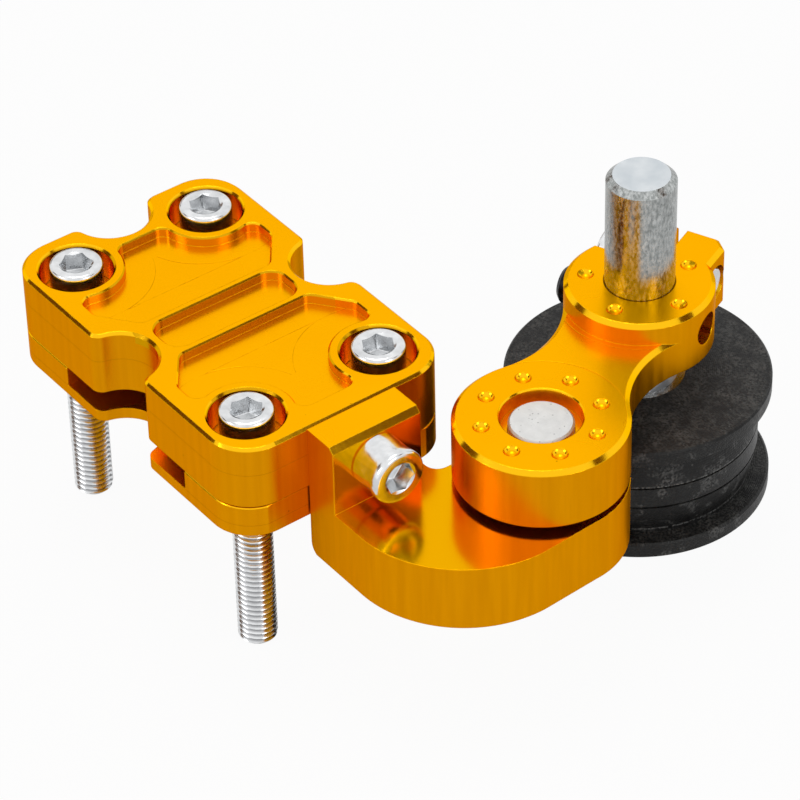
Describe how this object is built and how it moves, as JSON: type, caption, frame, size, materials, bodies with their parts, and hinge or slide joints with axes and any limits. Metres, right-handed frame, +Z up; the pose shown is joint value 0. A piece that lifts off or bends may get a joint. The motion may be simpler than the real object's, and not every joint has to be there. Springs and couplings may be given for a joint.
{
  "type": "chain tensioner",
  "caption": "Bolt-on motorcycle chain tensioner: gold-anodised aluminium swingarm clamp, sprung swing link and flanged black nylon roller on a steel shaft",
  "frame": {"origin": "centre of the four clamp screws, on the face where the two clamp plates meet", "axes": "+Z up the clamp screws towards their heads, +X from the clamp to its bracket, +Y across the clamp towards the roller"},
  "size_m": [0.1217, 0.1193, 0.0857],
  "materials": {
    "gold_anodised": "satin gold anodised",
    "zinc_steel": "bright zinc plated",
    "pin_steel": "ground",
    "galvanised_steel": "mottled zinc",
    "spring_steel": "oiled dark",
    "black_steel": "black oxide",
    "bearing_steel": "polished",
    "shield_steel": "pressed bright",
    "spacer_aluminium": "turned",
    "bronze": "oiled sintered bronze",
    "black_nylon": "turned matte"
  },
  "bodies": {
    "clamp": {"upper_clamp_plate": "gold_anodised", "clamp_screw_front_inner": "zinc_steel", "clamp_screw_front_outer": "zinc_steel", "clamp_screw_rear_inner": "zinc_steel", "clamp_screw_rear_outer": "zinc_steel", "bracket_screw": "zinc_steel"},
    "lower_jaw": {"lower_clamp_plate": "gold_anodised"},
    "bracket": {"pivot_bracket": "gold_anodised", "pivot_bush": "bronze", "torsion_spring": "spring_steel"},
    "link": {"link_arm": "gold_anodised", "pivot_pin": "pin_steel", "pivot_washer": "zinc_steel", "pivot_circlip": "black_steel", "pinch_screw": "zinc_steel", "set_screw": "black_steel"},
    "shaft": {"roller_shaft": "galvanised_steel", "shaft_washer": "zinc_steel", "upper_bearing_inner_ring": "bearing_steel", "lower_bearing_inner_ring": "bearing_steel", "bearing_spacer": "spacer_aluminium", "bolt_washer": "zinc_steel", "roller_bolt": "zinc_steel"},
    "roller": {"roller": "black_nylon", "upper_bearing_outer_ring": "bearing_steel", "lower_bearing_outer_ring": "bearing_steel", "upper_bearing_top_shield": "shield_steel", "upper_bearing_bottom_shield": "shield_steel", "lower_bearing_top_shield": "shield_steel", "lower_bearing_bottom_shield": "shield_steel"},
    "ball_cages": {"upper_bearing_balls": "bearing_steel", "lower_bearing_balls": "bearing_steel", "upper_bearing_cage": "shield_steel", "lower_bearing_cage": "shield_steel"}
  },
  "joints": [
    {"name": "jaw_slide", "type": "slide", "parent": "clamp", "child": "lower_jaw", "axis": [0, 0, -1], "range_m": [0, 0.02]},
    {"name": "bracket_swivel", "type": "hinge", "parent": "clamp", "child": "bracket", "pos_m": [0.04015, 0.0005, 0.0075], "axis": [1, 0, 0], "range_deg": [-5, 90]},
    {"name": "link_swing", "type": "hinge", "parent": "bracket", "child": "link", "pos_m": [0.0635, 0.0289, 0], "axis": [0, 0, 1], "range_deg": [-22, 18], "stiffness_Nm_per_rad": 0.3},
    {"name": "shaft_slide", "type": "slide", "parent": "link", "child": "shaft", "axis": [0, 0, 1], "range_m": [-0.024, 0.003]},
    {"name": "roller_spin", "type": "hinge", "parent": "shaft", "child": "roller", "pos_m": [0.04707, 0.06668, 0], "axis": [0, 0, 1], "continuous": true},
    {"name": "cage_spin", "type": "hinge", "parent": "shaft", "child": "ball_cages", "pos_m": [0.04707, 0.06668, 0], "axis": [0, 0, 1], "continuous": true}
  ],
  "couplings": [
    {"joint": "cage_spin", "follows": "roller_spin", "ratio": 0.603}
  ]
}
